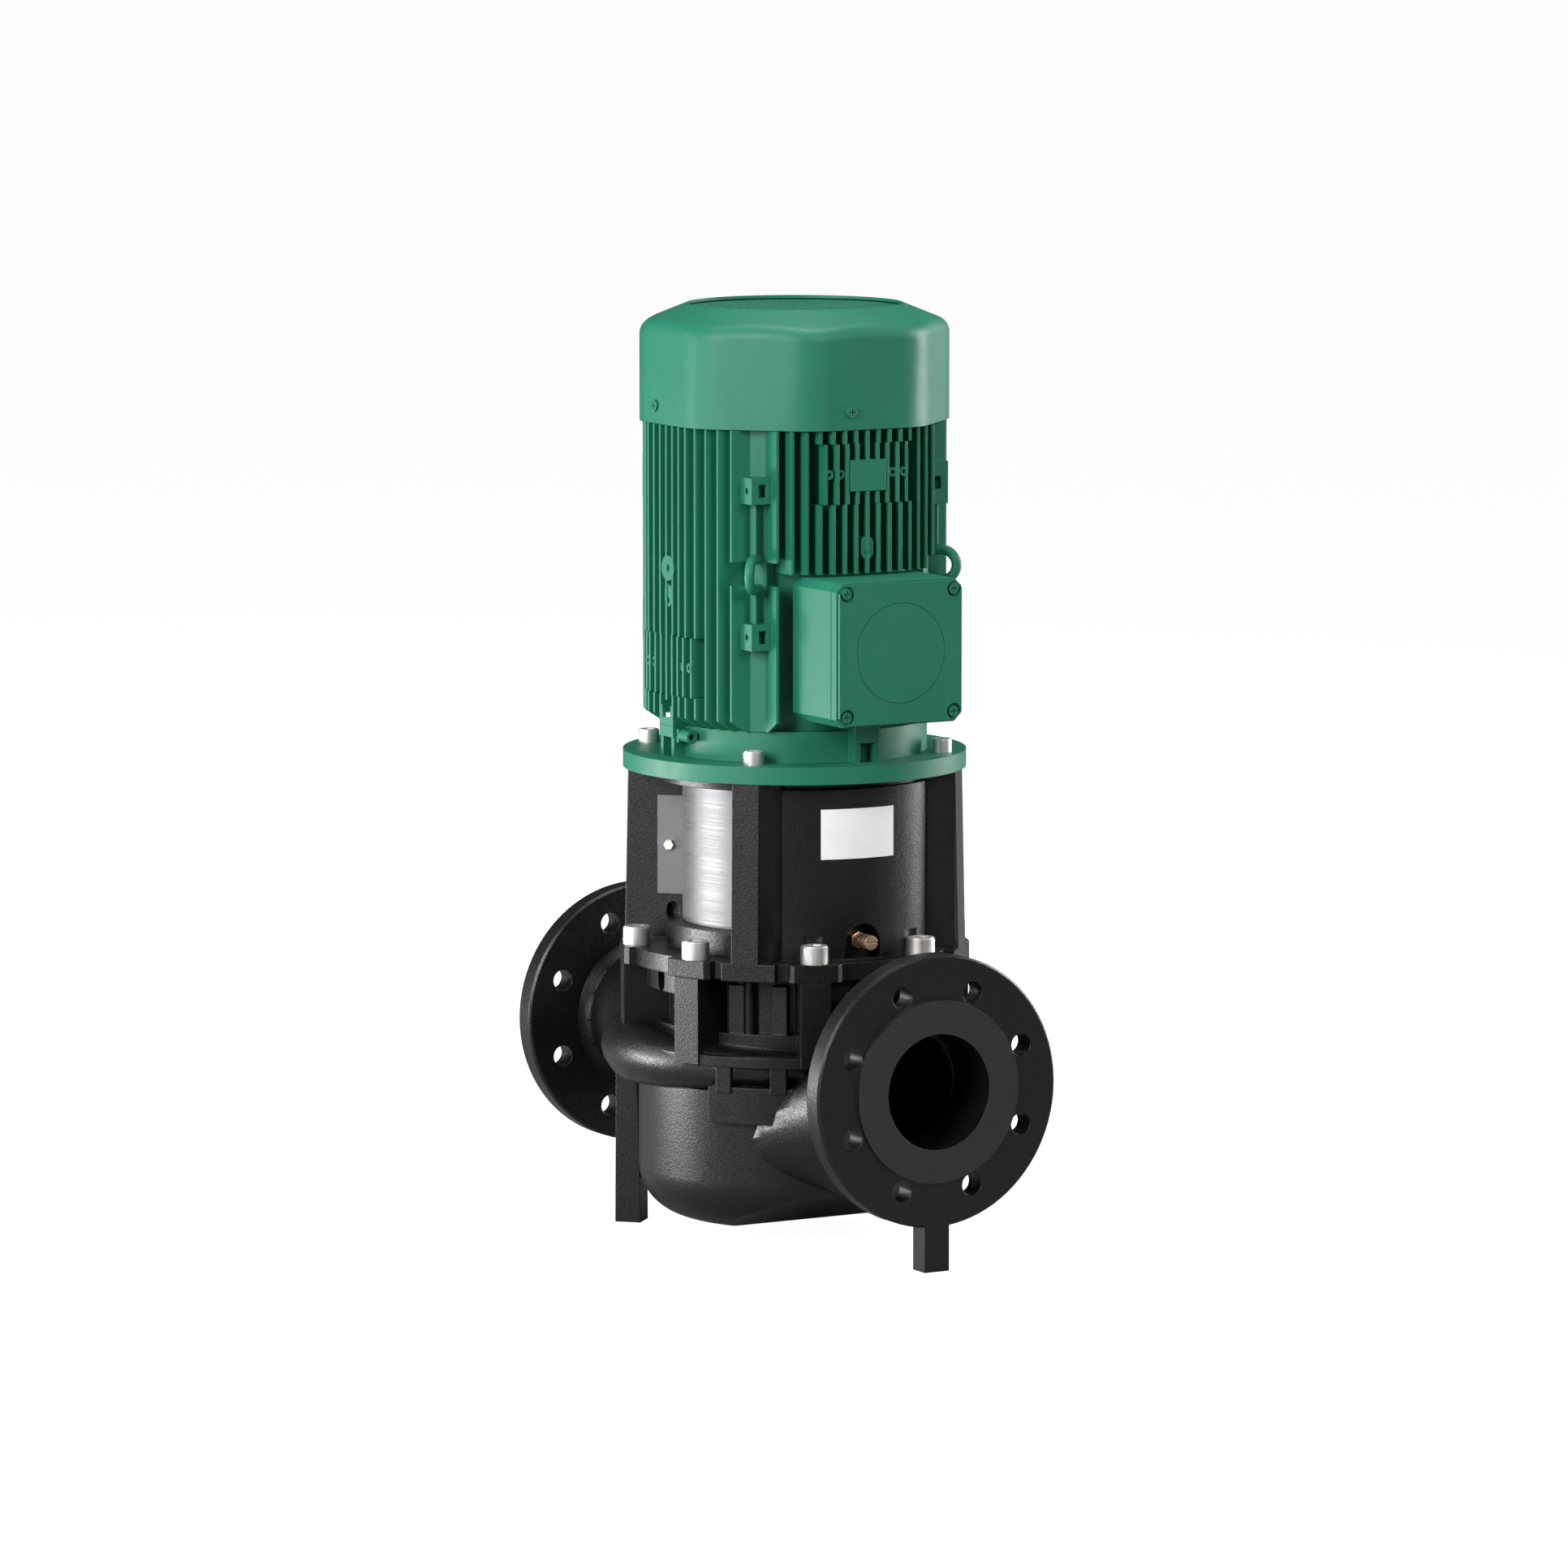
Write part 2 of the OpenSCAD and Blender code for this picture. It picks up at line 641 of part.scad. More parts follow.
module seal_seat() {
    color([0.85, 0.83, 0.78]) at_shaft() translate([0, 0, joint_h - 24])
        ring(shaft_d / 2 + 10, shaft_d / 2 + 1.5, 9);
}

module seal_head() {
    seat_z = joint_h - 24;
    low_z = impeller_z + 34 + slip;
    color([0.20, 0.20, 0.22]) at_shaft() difference() {
        union() {
            translate([0, 0, low_z]) cylinder(d = shaft_d + 12, h = 5);
            translate([0, 0, low_z]) cylinder(d = shaft_d + 6, h = seat_z - low_z - slip);
            translate([0, 0, seat_z - slip - 8]) cylinder(d = shaft_d + 16, h = 8);
        }
        translate([0, 0, low_z - eps]) cylinder(r = shaft_d / 2 + slip, h = 60);
    }
}

module slinger_ring() {
    color(rubber) at_shaft() translate([0, 0, foot_flange_z + 4])
        ring(shaft_d / 2 + 12, shaft_d / 2 + slip, 7.7);
}

// Lantern

module pillar() {
    translate([0, pillar_w / 2, 0]) rotate([90, 0, 0]) linear_extrude(pillar_w)
        polygon([[guard_r - 4, foot_flange_z - eps], [pillar_foot_r, foot_flange_z - eps],
            [pillar_head_r, motor_z], [guard_r - 4, motor_z]]);
}

// one pillar at 45 degrees: its window side faces +Y, its wall side is chamfered towards the closed wall
module lantern_pillar() {
    difference() {
        rotate([0, 0, 45]) {
            translate([0, window_x - pillar_w / 2, 0]) pillar();
            translate([0, 0, foot_flange_z - eps]) linear_extrude(motor_z - foot_flange_z + eps)
                polygon([[guard_r - 4, -5], [pillar_head_r - 0.5, -5], [pillar_head_r - 0.5, window_x - pillar_w],
                    [pillar_head_r - 9, window_x - pillar_w - 8], [wall_d / 2 - 1, window_x - pillar_w - 14],
                    [wall_d / 2 - 9, window_x - pillar_w - 14], [guard_r - 4, -14]]);
        }
        rotate([0, 0, 45]) translate([101, window_x - 10, foot_flange_z - 2 * eps]) {
            translate([5.5, 20, 0]) rotate([90, 0, 0]) linear_extrude(20) arch(11, 28);
        }
    }
}

// outline that stands on the line y = 0, w wide and h high up to the foot of its round top
module arch(w, h) {
    polygon(concat([[-w / 2, 0], [w / 2, 0]],
        [for (i = [0 : 12]) [w / 2 * cos(i * 15), h + w / 2 * sin(i * 15)]]));
}

module foot_lobe() {
    translate([0, 0, joint_h + relief]) linear_extrude(foot_flange_t - 2 * relief)
        polygon([[lobe_root_r, -23], [lobe_r - 4, -23], [lobe_r, -19], [lobe_r, 19], [lobe_r - 4, 23],
            [lobe_root_r, 23]]);
}

module lantern() {
    r_plug = spigot_r - slip;
    chamber = shaft_d / 2 + 18;
    color(iron) at_shaft() difference() {
        union() {
            // seal cover that plugs the casing
            rotate_extrude() polygon([[chamber, chamber_top_z + slip], [spigot_r - 5, chamber_top_z + slip],
                [spigot_r - 5, chamber_top_z + 3.6], [r_plug, chamber_top_z + 3.6], [r_plug, joint_h],
                [foot_flange_d / 2, joint_h], [foot_flange_d / 2, foot_flange_z], [curb_r, foot_flange_z],
                [curb_r, foot_flange_z + curb_h], [spigot_r - 10, foot_flange_z + curb_h],
                [spigot_r - 10, foot_flange_z - 6], [spigot_r - 14, foot_flange_z - 10],
                [spigot_r - 14, chamber_top_z + 14], [chamber + 10, chamber_top_z + 14],
                [chamber + 10, joint_h - 2], [shaft_d / 2 + 6, joint_h - 2], [shaft_d / 2 + 6, joint_h - 15],
                [chamber, joint_h - 15]]);
            around(joint_angles) foot_lobe();
            around(pillar_angles) translate([lobe_root_r + 5, -24, joint_h + 2 * relief])
                cube([pillar_foot_r - lobe_root_r - 5, 48, foot_flange_t - 3 * relief]);
            // closed walls towards the two pipes
            for (a = [0, 180]) translate([0, 0, foot_flange_z - eps])
                sector(wall_d / 2 - lantern_wall, wall_d / 2, a - 38, a + 38, wall_top_z - foot_flange_z + eps);
            for (m = [[0, 0], [1, 0], [0, 1], [1, 1]])
                mirror([m.x, 0, 0]) mirror([0, m.y, 0]) lantern_pillar();
            translate([0, 0, head_ring_z]) ring(head_ring_r, guard_r - 2, motor_z - head_ring_z);
            // niche of the vent valve
            rotate([0, 0, niche_a]) translate([0, 0, foot_flange_z - eps]) sector(103, 112.4, -9, 9, 34);
        }
        translate([0, 0, motor_z - 4.5]) cylinder(r = motor_spigot_d / 2, h = 5);
        around(joint_angles) translate([joint_circle_d / 2, 0, joint_h - eps])
            cylinder(d = joint_screw_d + 1.5, h = foot_flange_t + 2 * eps);
        around(joint_angles) translate([joint_circle_d / 2, 0, foot_flange_z - spot_face])
            cylinder(d = joint_screw_d * 1.5 + 4, h = joint_screw_d + 6);
        around(pillar_angles) translate([motor_circle_d / 2, 0, motor_z - 30])
            cylinder(d = motor_screw_d + 2 * slip, h = 30 + eps);
        rotate([0, 0, niche_a]) {
            translate([112, 0, foot_flange_z + 1]) rotate([90, 0, 90]) linear_extrude(30) arch(34, 13);
            translate([95, 0, foot_flange_z + 16]) rotate([0, 90, 0]) cylinder(r = 5 + slip, h = 30);
        }
        for (s = [-1, 1], q = [-1, 1]) guard_hole(s, q);
    }
}

module guard_hole(s, q) {
    mirror([s < 0 ? 1 : 0, 0, 0]) mirror([0, q < 0 ? 1 : 0, 0]) rotate([0, 0, 45])
        translate([guard_r + 11, window_x + eps, (guard_z0 + guard_z1) / 2]) rotate([90, 0, 0])
        cylinder(r = 2.5 + slip, h = 14);
}

module lantern_screws() {
    color(zinc) at_shaft() around(joint_angles) translate([joint_circle_d / 2, 0, foot_flange_z - spot_face])
        socket_screw(joint_screw_d, joint_screw_d * 1.5, joint_screw_d, foot_flange_t + 28);
}

// stainless sheet guard over the window that faces +Y
module coupling_guard() {
    tab_z = (guard_z0 + guard_z1) / 2;
    tab_h = 87;
    half_a = 45 - asin((window_x + 0.2) / guard_r);
    difference() {
        union() {
            translate([0, 0, guard_z0]) sector(guard_r - guard_t, guard_r, 90 - half_a, 90 + half_a,
                guard_z1 - guard_z0);
            for (m = [0, 1]) mirror([m, 0, 0]) rotate([0, 0, 45])
                translate([guard_r - 5, window_x + slip, tab_z - tab_h / 2]) cube([27, guard_t, tab_h]);
        }
        for (m = [0, 1]) mirror([m, 0, 0]) {
            rotate([0, 0, 45]) translate([guard_r + 11, window_x - eps, tab_z]) rotate([-90, 0, 0])
                cylinder(r = 3, h = 5);
            for (i = [-2 : 2]) rotate([0, 0, 90 - half_a + 2.5])
                translate([guard_r - 4, -2.5, tab_z + i * 26 - 5]) cube([8, 5, 10]);
        }
    }
}

module coupling_guard_left() {
    color(steel) at_shaft() mirror([0, 1, 0]) coupling_guard();
}

module coupling_guard_right() {
    color(steel) at_shaft() coupling_guard();
}

module guard_screws() {
    color(zinc) at_shaft() for (p = [0, 1], m = [0, 1]) mirror([0, p, 0]) mirror([m, 0, 0]) rotate([0, 0, 45])
        translate([guard_r + 11, window_x + guard_t + slip, (guard_z0 + guard_z1) / 2])
        rotate([-90, 0, 0]) hex_screw(5, 8, 4, 9);
}

module vent_valve_body() {
    color(copper) at_shaft() rotate([0, 0, niche_a]) translate([112 + slip, 0, foot_flange_z + 16])
        rotate([0, 90, 0]) difference() {
            union() {
                translate([0, 0, -10]) cylinder(r = 5, h = 12);
                cylinder(d = 15, h = 8, $fn = 6);
                translate([0, 0, 7]) cylinder(d = 11.5, h = 11);
            }
            translate([0, 0, 10]) cylinder(r = 4 + slip, h = 20);
        }
}

module vent_screw() {
    color(copper) at_shaft() rotate([0, 0, niche_a]) translate([112 + slip, 0, foot_flange_z + 16])
        rotate([0, 90, 0]) translate([0, 0, 10 + slip]) difference() {
            union() {
                cylinder(r = 4, h = 11);
                translate([0, 0, 9]) cylinder(d = 12.5, h = 12);
            }
            translate([-0.75, -8, 19.4]) cube([1.5, 16, 3]);
        }
}

module label_plate() {
    span = label_w / (PI * wall_d) * 360;
    color([0.92, 0.92, 0.92]) at_shaft() translate([0, 0, mix(foot_flange_z, wall_top_z, 0.74) - label_h / 2])
        sector(wall_d / 2 + slip, wall_d / 2 + 0.8, -3.7 - span / 2, -3.7 + span / 2, label_h);
}

// Motor

module drive_end_shield() {
    seat_r = bearing_d / 2;
    color(paint) at_shaft() difference() {
        union() {
            translate([0, 0, motor_z]) cylinder(d = motor_flange_d, h = motor_flange_t);
            translate([0, 0, motor_z - 4]) cylinder(r = motor_spigot_d / 2 - slip, h = 5);
            // rim, with room for the heads of the flange screws
            difference() {
                cylinder_from(shield_r, motor_z + 2, frame_z);
                around(pillar_angles) translate([motor_circle_d / 2, 0, ring_top_z])
                    cylinder(d = motor_screw_d * 1.5 + 2, h = shield_h);
            }
            for (a = [0, 90, 180, 270]) rotate([0, 0, a]) shield_ear();
        }
        // hollow between the rim and the bearing hub
        difference() {
            translate([0, 0, motor_z + 11]) cylinder(r = tube_r - 11, h = shield_h);
            translate([0, 0, motor_z]) cylinder(r = seat_r + 9, h = bearing_w + 16);
        }
        translate([0, 0, lower_bearing_z]) cylinder(r = seat_r + slip, h = shield_h);
        translate([0, 0, motor_z - 5]) cylinder(r = bearing_bore_d / 2 + 8, h = 60);
        around(pillar_angles) translate([motor_circle_d / 2, 0, motor_z - 5])
            cylinder(d = motor_screw_d + 2, h = motor_flange_t + 10);
        for (a = [0, 90, 180, 270]) rotate([0, 0, a])
            translate([ear_screw_r, 0, frame_z - 13]) cylinder(r = 3 + slip, h = 14);
        rotate([0, 0, 9]) translate([tube_r - 20, 0, frame_z - 5]) rotate([0, 90, 0]) cylinder(r = 2.5, h = 40);
        // foot of the housing inside the spigot
        difference() {
            translate([0, 0, motor_z - 5]) cylinder(r = motor_spigot_d / 2 - 7, h = 8);
            translate([0, 0, motor_z - 6]) cylinder(r = seat_r + 9, h = 20);
        }
    }
}

module cylinder_from(r, z0, z1) {
    translate([0, 0, z0]) cylinder(r = r, h = z1 - z0);
}

module shield_ear() {
    for (s = [-1, 1]) translate([shield_r - 6, s * (ear_w / 2 - 2.5) - 2.5, ring_top_z - eps])
        cube([ear_reach - shield_r + 5, 5, frame_z - ring_top_z + eps]);
    translate([shield_r - 6, -ear_w / 2, frame_z - 10]) cube([ear_reach - shield_r + 6, ear_w, 10]);
}

module motor_flange_screws() {
    color(zinc) at_shaft() around(pillar_angles) translate([motor_circle_d / 2, 0, ring_top_z])
        socket_screw(motor_screw_d, motor_screw_d * 1.5, motor_screw_d, motor_flange_t + 22);
}

module shield_screws() {
    color(zinc) at_shaft() for (a = [0, 90, 180, 270]) rotate([0, 0, a])
        translate([ear_screw_r, 0, frame_z + ear_t + slip]) hex_screw(6, 10, 4, 16);
}

module shaft_seal() {
    color(rubber) at_shaft() translate([0, 0, motor_z + 2])
        ring(bearing_bore_d / 2 + 8 - slip, motor_shaft_d / 2 + 0.1, 8);
}

// fin of a sector that faces +X, at distance y from the sector's middle, chamfered at its foot
module fin(y, z0, z1, chamfer) {
    tip = min(fin_flat_r, sqrt(fin_tip_r * fin_tip_r - y * y));
    root = sqrt(pow(tube_r - 3, 2) - y * y);
    translate([0, y, 0]) rotate([90, 0, 0]) linear_extrude(fin_t, center = true)
        polygon([[root, z0], [tip - chamfer * 1.6, z0], [tip, z0 + chamfer], [tip, z1], [root, z1]]);
}

// fins of one sector; a band of closer fins crosses it between band_z0 and band_z1,
// and the outermost fins named in broken leave room for a lifting eye
module fin_sector(z0, chamfer, band_z0, band_z1, broken) {
    close = 0.9;
    for (k = [-fin_side_n : fin_side_n]) {
        y = k * fin_pitch;
        if (abs(k) < 5) {
            fin(y, z0, band_z0, chamfer);
            fin(y * close, band_z0, band_z1, 0);
            fin(y, band_z1, frame_top_z, 0);
        } else if (abs(k) < 7) {
            fin(y, z0, frame_top_z, chamfer);
        } else if (len(search(k, broken)) > 0) {
            fin(y, frame_z, eye_z - 10, 9);
            fin(y, eye_z + 10, frame_top_z, 0);
        } else {
            fin(y, frame_z, frame_top_z, 9);
        }
    }
    for (s = [-1, 1], k = [2.35, 3.35]) translate([0, s * k * fin_pitch, mix(band_z0, band_z1, 0.5)])
        rotate([0, 90, 0]) difference() {
            translate([0, 0, tube_r - 12]) cylinder(r = 4.2, h = fin_flat_r - tube_r + 10);
            translate([0, 0, fin_flat_r - 8]) cylinder(r = 1.8, h = 10);
        }
}

// boss and rounded plate that interrupt the middle fins of a side sector
module side_boss() {
    translate([0, 3, eye_z]) rotate([0, 90, 0]) difference() {
        translate([0, 0, tube_r - 6]) cylinder(r = 11, h = fin_flat_r - tube_r + 6);
        translate([0, 0, fin_flat_r - 10]) cylinder(r = 3, h = 12);
    }
}

module round_plate(y, z, h) {
    translate([0, y, z]) rotate([0, 90, 0]) difference() {
        union() {
            for (s = [0, 1]) translate([s * h, 0, tube_r - 6]) cylinder(r = 6, h = fin_flat_r - tube_r + 5);
            translate([0, -6, tube_r - 6]) cube([h, 12, fin_flat_r - tube_r + 5]);
        }
        translate([h, 0, fin_flat_r - 8]) cylinder(r = 2.4, h = 10);
    }
}

module foot_pad(z, h) {
    translate([pad_out - pad_w, pad_out - pad_w, z - h / 2]) difference() {
        cube([pad_w, pad_w, h]);
        translate([pad_w * 0.6, pad_w + eps, h / 2]) rotate([90, 0, 0]) cylinder(r = 2.6, h = 9);
        translate([pad_w - 9, pad_w * 0.32, h / 2 - 5.5]) cube([10, 7.5, 11]);
    }
}

// ring of one lifting eye with its two arms, upright in the XZ plane
module lifting_eye() {
    centre = eye_reach - eye_ring_r - eye_bar_r;
    translate([centre, 0, eye_z]) rotate([90, 0, 0]) rotate([0, 0, -90]) rotate_extrude(angle = 180)
        translate([eye_ring_r, 0]) circle(r = eye_bar_r);
    for (s = [-1, 1]) translate([flat_r - 10, 0, eye_z + s * eye_ring_r]) rotate([0, 90, 0])
        cylinder(r = eye_bar_r, h = centre - flat_r + 10);
}

// short ribs that steady the outermost fin beside each foot pad
module fin_ribs() {
    y = fin_side_n * fin_pitch - fin_t / 2;
    x = sqrt(pow(tube_r, 2) - y * y);
    for (up = [low_pad_up, high_pad_up], s = [-1, 1])
        translate([x - 2, y - 5.5, frame_z + up + s * (pad_h / 2 - 2) - 1.5]) cube([7, 6, 3]);
}

module corner(eye, h) {
    foot_pad(frame_z + low_pad_up, h);
    foot_pad(frame_z + high_pad_up, h);
    fin_ribs();
    mirror([1, -1, 0]) fin_ribs();
    rotate([0, 0, 45]) {
        if (eye) lifting_eye();
        for (z = eye ? [[low_pad_up, eye_up - eye_ring_r], [eye_up + eye_ring_r, high_pad_up]]
                : [[low_pad_up, high_pad_up]])
            translate([flat_r - 5, -1.5, frame_z + z.x]) cube([16, 3, z.y - z.x]);
    }
}

module frame_tube() {
    linear_extrude(frame_len) difference() {
        union() {
            circle(r = tube_r);
            for (a = pillar_angles) rotate(a) translate([stator_r - 4, -flat_w / 2])
                square([flat_r - stator_r + 4, flat_w]);
        }
        circle(r = stator_r);
    }
}

module stator_frame() {
    box_half = box_w / 2 - 12;
    color(paint) at_shaft() difference() {
        union() {
            translate([0, 0, frame_z]) frame_tube();
            for (a = [0, 90, 180, 270]) rotate([0, 0, a]) translate([tube_r - 6, -ear_w / 2, frame_z])
                cube([ear_reach - tube_r + 6, ear_w, ear_t]);
            for (a = [90, 180, 270], s = [-1, 1]) rotate([0, 0, a])
                translate([tube_r - 6, s * (ear_w / 2 - 2.5) - 2.5, frame_z + ear_t - eps])
                cube([ear_reach - tube_r + 6, 5, 11]);
            for (a = [[90, -7], [180, 0], [270, 7]]) rotate([0, 0, a.x])
                fin_sector(frame_z, 9, frame_z + 27, frame_z + 79, [a.y]);
            fin_sector(inlet_fins_z, 0, frame_z + 197, frame_z + 249, [-7, 7]);
            for (a = [90, 270]) rotate([0, 0, a]) {
                side_boss();
                round_plate(a > 180 ? 2 : -2, eye_z - 20, 8);
            }
            round_plate(0, inlet_fins_z + 26, 8);
            translate([tube_r - 6, -1.6 * fin_pitch, frame_z + 208])
                cube([fin_flat_r - tube_r + 6.5, 3.2 * fin_pitch, 27]);
            mirror([0, 1, 0]) corner(true, pad_h);
            corner(true, pad_h * 1.6);
            mirror([1, 0, 0]) for (b = [0, 1]) mirror([0, b, 0]) corner(false, pad_h * 1.6);
            translate([stator_r + 4, -box_half, box_z - box_half])
                cube([box_seat - stator_r - 4, 2 * box_half, 2 * box_half]);
        }
        translate([0, 0, frame_z - eps]) cylinder(r = stator_r, h = frame_len + 2 * eps);
        for (a = [0, 90, 180, 270]) rotate([0, 0, a]) {
            translate([ear_screw_r, 0, frame_z - eps]) cylinder(r = 3 + slip, h = 9);
            translate([tube_r + 1, 5 - ear_w / 2, frame_z + ear_t]) cube([30, ear_w - 10, 15]);
        }
    }
}

module stator_core() {
    color([0.45, 0.45, 0.47]) at_shaft() translate([0, 0, core_z0])
        ring(stator_r - slip, stator_bore_d / 2, core_z1 - core_z0);
}

module windings() {
    r_in = stator_bore_d / 2 + 5;
    color(copper) at_shaft() for (z = [core_z0 - 26, core_z1]) translate([0, 0, z])
        rotate_extrude() polygon([[r_in, 0], [stator_r - 14, 0], [stator_r - 9, 5], [stator_r - 9, 26],
            [r_in, 26]]);
}

module rotor_core() {
    r = stator_bore_d / 2 - 0.5;
    color([0.5, 0.5, 0.52]) at_shaft() translate([0, 0, core_z0]) {
        ring(r, bearing_bore_d / 2 + 5 + slip, core_z1 - core_z0);
        for (z = [-12, core_z1 - core_z0 - eps]) translate([0, 0, z]) ring(r - 2, r - 18, 12 + eps);
    }
}

module motor_shaft() {
    journal = bearing_bore_d / 2;
    color(steel) at_shaft() {
        cylinder_from(motor_shaft_d / 2, shaft_end_z, motor_z + 12);
        cylinder_from(journal, motor_z + 11, upper_bearing_z + bearing_w);
        cylinder_from(journal + 5, lower_bearing_z + bearing_w + slip, upper_bearing_z - slip);
        cylinder_from(journal - 4, upper_bearing_z + bearing_w - eps, fan_z + 36);
    }
}

module bearing_outer(z) {
    color(steel) at_shaft() translate([0, 0, z]) difference() {
        ring(bearing_d / 2, bearing_pitch_r + ball_r * 0.66, bearing_w);
        translate([0, 0, bearing_w / 2]) rotate_extrude() translate([bearing_pitch_r, 0]) circle(r = ball_r + 0.1);
    }
}

module bearing_inner(z) {
    color(steel) at_shaft() translate([0, 0, z]) difference() {
        ring(bearing_pitch_r - ball_r * 0.66, bearing_bore_d / 2 + slip, bearing_w);
        translate([0, 0, bearing_w / 2]) rotate_extrude() translate([bearing_pitch_r, 0]) circle(r = ball_r + 0.1);
    }
}

module bearing_balls(z) {
    color(zinc) at_shaft() translate([0, 0, z + bearing_w / 2]) {
        for (i = [0 : 8]) rotate([0, 0, i * 40]) translate([bearing_pitch_r, 0, 0]) sphere(r = ball_r);
        translate([0, 0, -1.5]) ring(bearing_pitch_r + 1.5, bearing_pitch_r - 1.5, 3);
    }
}

module lower_bearing_outer() { bearing_outer(lower_bearing_z); }
module lower_bearing_inner() { bearing_inner(lower_bearing_z); }
module lower_bearing_balls() { bearing_balls(lower_bearing_z); }
module upper_bearing_outer() { bearing_outer(upper_bearing_z); }
module upper_bearing_inner() { bearing_inner(upper_bearing_z); }
module upper_bearing_balls() { bearing_balls(upper_bearing_z); }

module wave_spring() {
    color(steel) at_shaft() translate([0, 0, upper_bearing_z + bearing_w + slip])
        ring(bearing_d / 2 - 1, bearing_d / 2 - 6, 2);
}

module upper_end_shield() {
    seat_r = bearing_d / 2;
    top = upper_bearing_z + bearing_w + 2.1;
    color(paint) at_shaft() difference() {
        union() {
            cylinder_from(tube_r + 6, frame_top_z, frame_top_z + 7);
            cylinder_from(stator_r - slip, frame_top_z - 10, frame_top_z + 1);
            cylinder_from(seat_r + 9, upper_bearing_z - 2, top + 4);
            for (a = [0, 90, 180, 270]) rotate([0, 0, a])
                translate([tube_r - 12, -cowl_screw_off - 8, frame_top_z])
                cube([cowl_r - cowl_wall - gap - tube_r + 12, 16, 22]);
        }
        difference() {
            cylinder_from(stator_r - 8, frame_top_z - 11, frame_top_z);
            cylinder_from(seat_r + 9, upper_bearing_z - 20, top);
        }
        cylinder_from(seat_r + slip, upper_bearing_z - 30, top);
        cylinder_from(bearing_bore_d / 2 + 2, upper_bearing_z, top + 20);
        cylinder_from(tube_r - 10, frame_top_z + 7, frame_top_z + 60);
        // room for the fan inside the ears of the cowl
        cylinder_from(fan_d / 2 + 2, fan_z - 2, frame_top_z + 60);
        for (a = [0, 90, 180, 270]) rotate([0, 0, a])
            translate([cowl_r - 20, -cowl_screw_off, cowl_screw_z]) rotate([0, 90, 0]) cylinder(r = 2.5 + slip, h = 30);
    }
}

module fan() {
    hub_r = bearing_bore_d / 2 + 6;
    color([0.10, 0.10, 0.11]) at_shaft() translate([0, 0, fan_z]) difference() {
        union() {
            cylinder(r = hub_r, h = 30);
            cylinder(d = fan_d * 0.8, h = 3);
            for (i = [0 : fan_blades - 1]) rotate([0, 0, i * 360 / fan_blades])
                translate([hub_r - 2, -1.5, 0]) cube([fan_d / 2 - hub_r + 2, 3, 34]);
        }
        translate([0, 0, -eps]) cylinder(r = bearing_bore_d / 2 - 4 + slip, h = 60);
    }
}

module fan_clip() {
    color(steel) at_shaft() translate([0, 0, fan_z + 30 + slip])
        ring(bearing_bore_d / 2, bearing_bore_d / 2 - 4 + slip, 2);
}

// Fan cowl: an eight-sided skirt with soft corners that runs through a shoulder into a conical roof

function octagon_r(a, inner) =
    let (w = cowl_r - inner, c = cowl_corner_r - inner, b = a - 45 * round(a / 45),
        m = (cowl_r - cowl_corner_r) / cos(22.5), d = 22.5 - abs(b))
    // the flat, or the arc of the rounded corner around a centre that stands at m
    let (flat = w / cos(b), arc = m * cos(d) + sqrt(max(0, c * c - pow(m * sin(d), 2))))
    flat * sin(abs(b)) <= m * sin(22.5) ? flat : arc;
function roof_z(r, inner) = cowl_top_z - (r - grille_r) * tan(cowl_slope) - inner / cos(cowl_slope);

function cowl_point(a, t, inner) =
    let (r = octagon_r(a, inner), f = cowl_shoulder_r - inner, turn = 90 - cowl_slope,
        r_end = r - f + f * cos(turn), z_mid = roof_z(r_end, inner) - f * sin(turn))
    [(r - f + f * cos(turn * t)) * cos(a), (r - f + f * cos(turn * t)) * sin(a), z_mid + f * sin(turn * t)];

function cowl_rings(inner) =
    concat([[for (i = [0 : cowl_n - 1]) let (a = i * 360 / cowl_n) polar(octagon_r(a, inner), a, cowl_z)]],
        [for (j = [0 : 5]) [for (i = [0 : cowl_n - 1]) cowl_point(i * 360 / cowl_n, j / 5, inner)]],
        [[for (i = [0 : cowl_n - 1]) polar(grille_r, i * 360 / cowl_n, roof_z(grille_r, inner))]]);

module cowl_shell() {
    outside = cowl_rings(0);
    inside = cowl_rings(cowl_wall);
    skin(concat(outside, [for (j = [len(inside) - 1 : -1 : 0]) inside[j]]), loop = true);
}

module grille_2d() {
    difference() {
        circle(r = grille_r + 3);
        for (j = [0 : 8]) {
            r = 14 + j * (grille_r - 22) / 8;
            n = floor(PI * r / 4 / (grille_hole_d + 2.6));
            for (s = [0 : 7], i = [0 : n - 1]) rotate(s * 45 + (i + 0.5) * 45 / n)
                translate([r, 0]) circle(d = grille_hole_d, $fn = 16);
        }
    }
}

module fan_cowl() {
    color(paint) at_shaft() difference() {
        cowl_shell();
        for (a = [0, 90, 180, 270]) rotate([0, 0, a])
            translate([cowl_r - 10, -cowl_screw_off, cowl_screw_z]) rotate([0, 90, 0])
            cylinder(r = 2.9, h = 20);
    }
}

module air_grille() {
    color(paint) at_shaft() translate([0, 0, roof_z(grille_r + 3, cowl_wall) - 2]) linear_extrude(2) grille_2d();
}

module cowl_screws() {
    color(steel) at_shaft() for (a = [0, 90, 180, 270]) rotate([0, 0, a])
        translate([cowl_r, -cowl_screw_off, cowl_screw_z]) rotate([0, 90, 0]) difference() {
            union() {
                translate([0, 0, -14]) cylinder(r = 2.5, h = 14);
                translate([0, 0, slip]) cylinder(r = 5, h = 2);
            }
            for (q = [0, 90]) rotate([0, 0, q]) translate([-3, -0.6, 0.8]) cube([6, 1.2, 3]);
        }
}

// Terminal box

